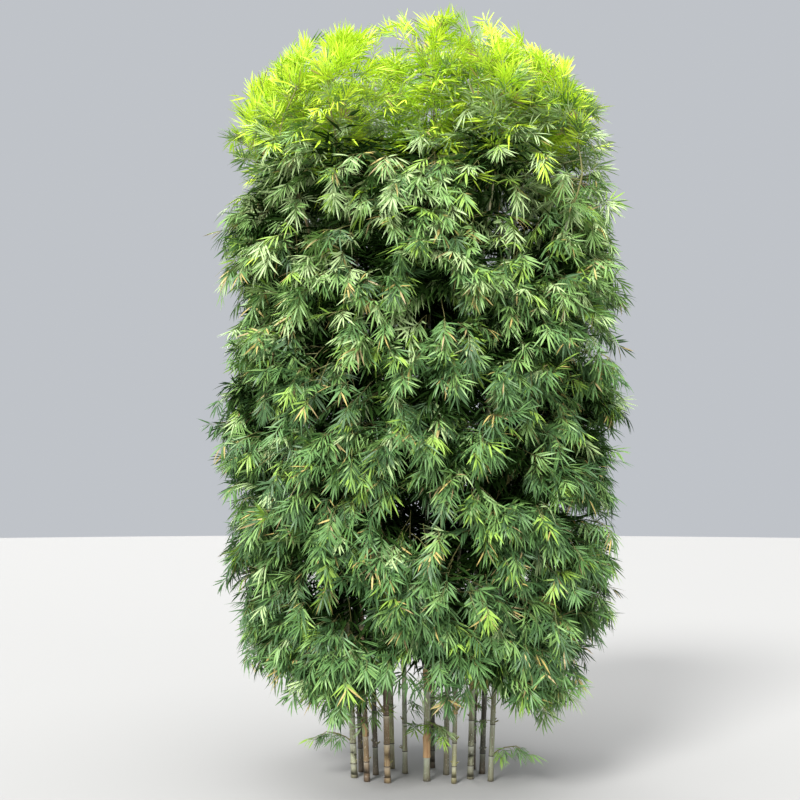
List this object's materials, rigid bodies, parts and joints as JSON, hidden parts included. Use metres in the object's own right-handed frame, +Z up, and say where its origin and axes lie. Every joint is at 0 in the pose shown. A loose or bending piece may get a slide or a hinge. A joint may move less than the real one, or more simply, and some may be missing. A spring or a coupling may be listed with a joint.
{
  "type": "clump of hedge bamboo",
  "caption": "Rooted clump of slender jointed bamboo culms that lean apart into a dense leafy crown with a ragged skirt and bright feathery plumes.",
  "frame": {"origin": "middle of the flat cut at ground level under the main culm, culm_08", "axes": "+Z up along the height, +X to the right along the hedge row, -Y towards the front"},
  "size_m": [2.578, 2.1784, 4.1508],
  "materials": {
    "culm_palegreen": "smooth pale grey-green culm with white bloom under its joints",
    "culm_olive": "smooth olive culm, slightly glossy",
    "culm_tan": "dry tan culm with papery sheaths",
    "culm_dark": "weathered dark grey-green culm",
    "twigs": "thin tan-green twigs",
    "leaves_bright": "bright yellow-green young leaves",
    "leaves_green": "mid-green matt leaves",
    "leaves_deep": "deeper green matt leaves"
  },
  "bodies": {
    "root": {"culm_01": "culm_palegreen", "culm_02": "culm_dark", "culm_03": "culm_tan", "culm_04": "culm_dark", "culm_05": "culm_tan", "culm_06": "culm_olive", "culm_07": "culm_palegreen", "culm_08": "culm_palegreen", "culm_09": "culm_dark", "culm_10": "culm_olive", "culm_11": "culm_olive", "culm_12": "culm_palegreen", "culm_13": "culm_dark", "culm_14": "culm_dark", "culm_15": "culm_palegreen", "low_bough_left": "twigs", "low_foliage_left": "leaves_deep", "low_bough_front": "twigs", "low_foliage_front": "leaves_deep", "low_bough_right": "twigs", "low_foliage_right": "leaves_deep", "skirt_foliage_1": "leaves_deep", "skirt_foliage_2": "leaves_deep", "skirt_foliage_3": "leaves_deep", "skirt_foliage_4": "leaves_deep", "skirt_foliage_5": "leaves_deep", "skirt_foliage_6": "leaves_deep", "skirt_foliage_7": "leaves_deep", "skirt_foliage_8": "leaves_deep", "middle_foliage_1": "leaves_green", "middle_foliage_2": "leaves_green", "middle_foliage_3": "leaves_green", "middle_foliage_4": "leaves_green", "middle_foliage_5": "leaves_green", "middle_foliage_6": "leaves_green", "middle_foliage_7": "leaves_green", "middle_foliage_8": "leaves_green", "upper_foliage_1": "leaves_green", "upper_foliage_2": "leaves_green", "upper_foliage_3": "leaves_green", "upper_foliage_4": "leaves_green", "upper_foliage_5": "leaves_green", "upper_foliage_6": "leaves_green", "upper_foliage_7": "leaves_green", "upper_foliage_8": "leaves_green", "plume_01": "leaves_bright", "plume_02": "leaves_bright", "plume_03": "leaves_bright", "plume_04": "leaves_bright", "plume_05": "leaves_bright", "plume_06": "leaves_bright", "plume_07": "leaves_bright", "plume_08": "leaves_bright", "plume_09": "leaves_bright", "plume_10": "leaves_bright", "plume_11": "leaves_bright", "plume_12": "leaves_bright", "plume_13": "leaves_bright", "plume_14": "leaves_bright", "plume_15": "leaves_bright"}
  },
  "joints": []
}
